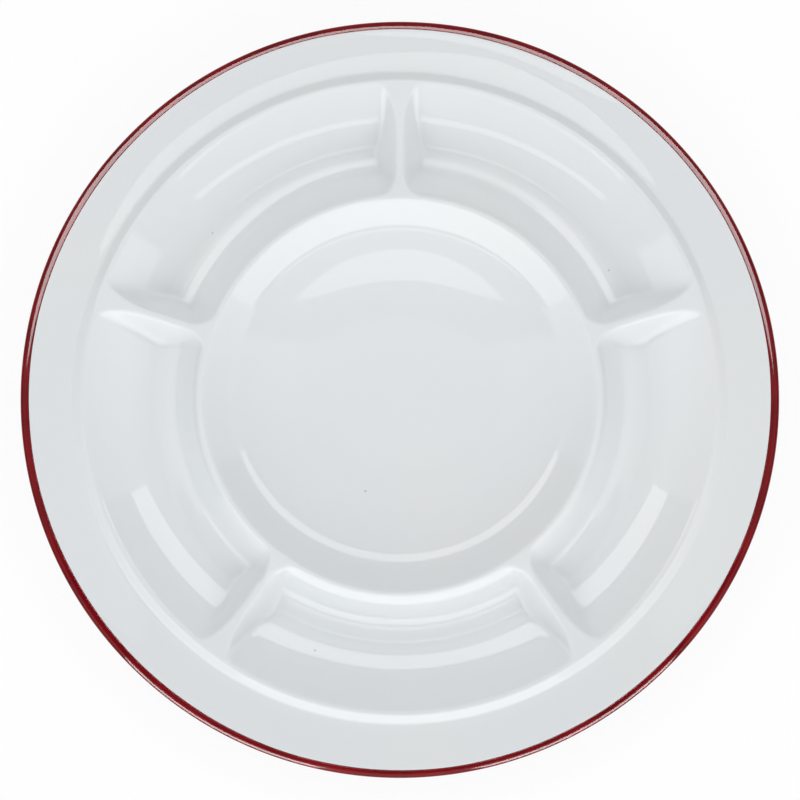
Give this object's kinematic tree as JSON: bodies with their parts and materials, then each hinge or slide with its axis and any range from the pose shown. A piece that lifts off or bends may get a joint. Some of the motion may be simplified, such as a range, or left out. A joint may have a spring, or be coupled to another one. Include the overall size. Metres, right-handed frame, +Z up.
{
  "type": "fondue plate",
  "caption": "Round glazed ceramic plate with a dished central well, a ring of divided sauce compartments, a wide flange and a red enamel band on its rim.",
  "frame": {"origin": "on the table, under the plate's centre, in the plane of the foot ring's standing face", "axes": "+Z up out of the wells, +Y along the middle of one divider, +X to the right of it seen from above"},
  "size_m": [0.26, 0.26, 0.0207],
  "materials": {
    "white_glaze": "glossy clear glaze over white ceramic, bare on the foot ring's standing face",
    "red_enamel": "glossy dark red fired enamel"
  },
  "bodies": {
    "root": {"plate_body": "white_glaze", "rim_band": "red_enamel"}
  },
  "joints": []
}
